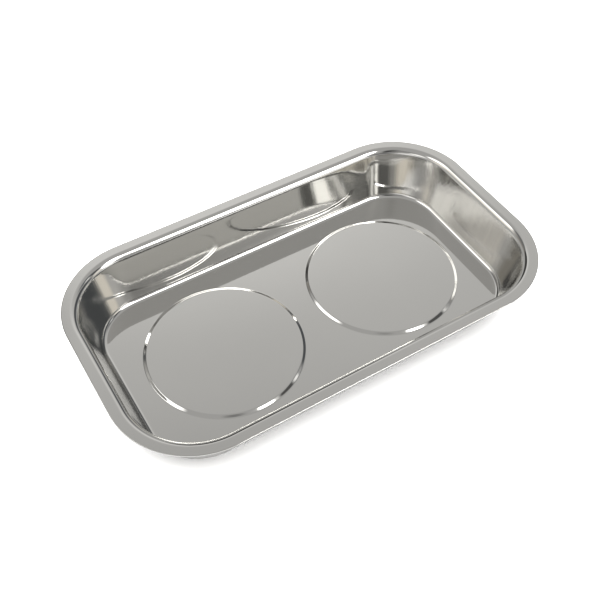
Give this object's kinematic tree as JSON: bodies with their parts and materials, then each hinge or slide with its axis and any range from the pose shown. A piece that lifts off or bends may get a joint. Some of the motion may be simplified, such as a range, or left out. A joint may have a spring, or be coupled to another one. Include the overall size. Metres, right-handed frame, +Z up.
{
  "type": "parts sorting tray",
  "caption": "Oblong deep-drawn stainless parts tray with rounded corners, a flat rim and raised round floor pads over rubber-covered magnet feet.",
  "frame": {"origin": "middle of the tray's footprint, on the plane its rubber covers stand on", "axes": "+X along the tray's length, +Y across it, +Z up out of the open dish"},
  "size_m": [0.24, 0.14, 0.0412],
  "materials": {
    "stainless_sheet": "satin",
    "zinc_plated_steel": "satin",
    "ferrite": "matte",
    "black_rubber": "matte"
  },
  "bodies": {
    "root": {"tray_dish": "stainless_sheet", "left_weld_stud": "zinc_plated_steel", "left_pole_cup": "zinc_plated_steel", "left_ring_magnet": "ferrite", "left_rubber_cover": "black_rubber", "left_flat_washer": "zinc_plated_steel", "left_spring_washer": "zinc_plated_steel", "left_hex_nut": "zinc_plated_steel", "right_weld_stud": "zinc_plated_steel", "right_pole_cup": "zinc_plated_steel", "right_ring_magnet": "ferrite", "right_rubber_cover": "black_rubber", "right_flat_washer": "zinc_plated_steel", "right_spring_washer": "zinc_plated_steel", "right_hex_nut": "zinc_plated_steel"}
  },
  "joints": []
}
